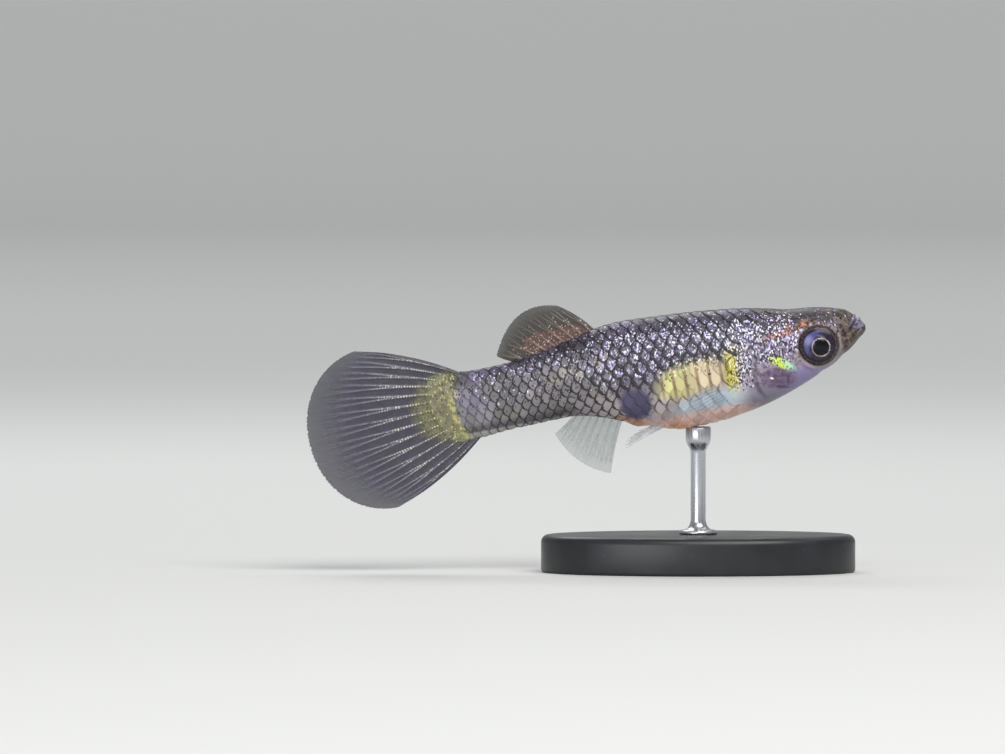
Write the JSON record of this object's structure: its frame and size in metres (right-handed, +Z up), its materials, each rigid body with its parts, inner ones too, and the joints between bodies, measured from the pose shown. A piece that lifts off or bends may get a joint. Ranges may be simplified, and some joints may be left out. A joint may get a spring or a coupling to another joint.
{
  "type": "female fancy guppy on a display stand",
  "caption": "Life-size model of a female fancy guppy, swimming with its fins spread and its snout tipped up, on a rod over a flat oval base.",
  "frame": {"origin": "middle of the bounding box, at the underside of the stand's base", "axes": "+X towards the snout, +Z up, and the fish's left side faces +Y"},
  "size_m": [0.0444, 0.015, 0.0213],
  "materials": {
    "skin": "wet silver-lilac scales with a dark net and a yellow and salmon belly",
    "eye": "clear and wet, dark iris with a thin silver ring",
    "fin": "thin, see-through smoke grey with pale rays",
    "stand_base": "satin black",
    "stand_rod": "satin"
  },
  "bodies": {
    "root": {"head": "skin", "lower_jaw": "skin", "gill_cover_left": "skin", "gill_cover_right": "skin", "trunk": "skin", "tail_stalk": "skin", "eye_left": "eye", "eye_right": "eye", "tail_fin": "fin", "dorsal_fin": "fin", "anal_fin": "fin", "pectoral_fin_left": "fin", "pectoral_fin_right": "fin", "pelvic_fin_left": "fin", "pelvic_fin_right": "fin", "stand_base": "stand_base", "stand_rod": "stand_rod"}
  },
  "joints": []
}
